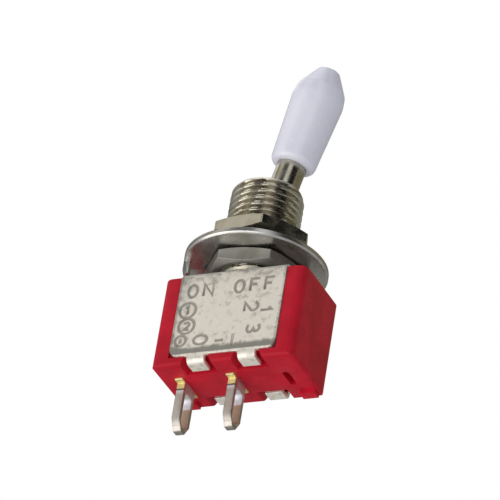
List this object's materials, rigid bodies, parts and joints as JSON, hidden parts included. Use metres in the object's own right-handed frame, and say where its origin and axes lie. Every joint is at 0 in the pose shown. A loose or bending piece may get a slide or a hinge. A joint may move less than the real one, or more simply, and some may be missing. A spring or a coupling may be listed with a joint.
{
  "type": "mini toggle switch",
  "caption": "Miniature on-off toggle switch: red case in a metal bracket, threaded panel bushing with nuts and rings, solder lugs and a white sleeved lever.",
  "frame": {"origin": "on the bushing's axis at the top surface of the metal bracket, where a panel's hole is centred", "axes": "+Z out along the bushing, +X along the row of terminals to the side that the lever leans to at rest, -Y the front"},
  "size_m": [0.0132, 0.0124, 0.0357],
  "materials": {
    "red_plastic": "satin",
    "bracket_steel": "satin",
    "nickel_brass": "polished",
    "plated_steel": "polished",
    "white_sleeve": "glossy",
    "spring_steel": "polished",
    "nylon": "matt",
    "silvered_copper": "satin",
    "contact_silver": "polished"
  },
  "bodies": {
    "switch_body": {"case": "red_plastic", "frame": "bracket_steel", "bushing": "nickel_brass", "common_terminal": "silvered_copper", "end_terminal": "silvered_copper", "end_contact": "contact_silver", "lower_nut": "nickel_brass", "locking_ring": "plated_steel", "lock_washer": "plated_steel", "top_nut": "nickel_brass"},
    "lever_body": {"lever": "nickel_brass", "lever_cap": "white_sleeve", "pivot_pin": "spring_steel", "plunger_spring": "spring_steel"},
    "plunger_body": {"plunger": "nylon"},
    "rocker_body": {"rocker": "silvered_copper", "rocker_contact_live": "contact_silver", "rocker_contact_idle": "contact_silver"}
  },
  "joints": [
    {"name": "lever_throw", "type": "hinge", "parent": "switch_body", "child": "lever_body", "pos_m": [0, 0, 0.0042], "axis": [0, 1, 0], "range_deg": [-25, 0]},
    {"name": "plunger_press", "type": "slide", "parent": "lever_body", "child": "plunger_body", "axis": [0.2164, 0, 0.9763], "range_m": [0, 0.0005], "stiffness_N_per_m": 400, "deforming": ["plunger_spring"]},
    {"name": "rocker_throw", "type": "hinge", "parent": "switch_body", "child": "rocker_body", "pos_m": [0, 0, -0.005], "axis": [0, 1, 0], "range_deg": [0, 14]}
  ],
  "couplings": [
    {"joint": "rocker_throw", "follows": "lever_throw", "ratio": -0.56}
  ]
}
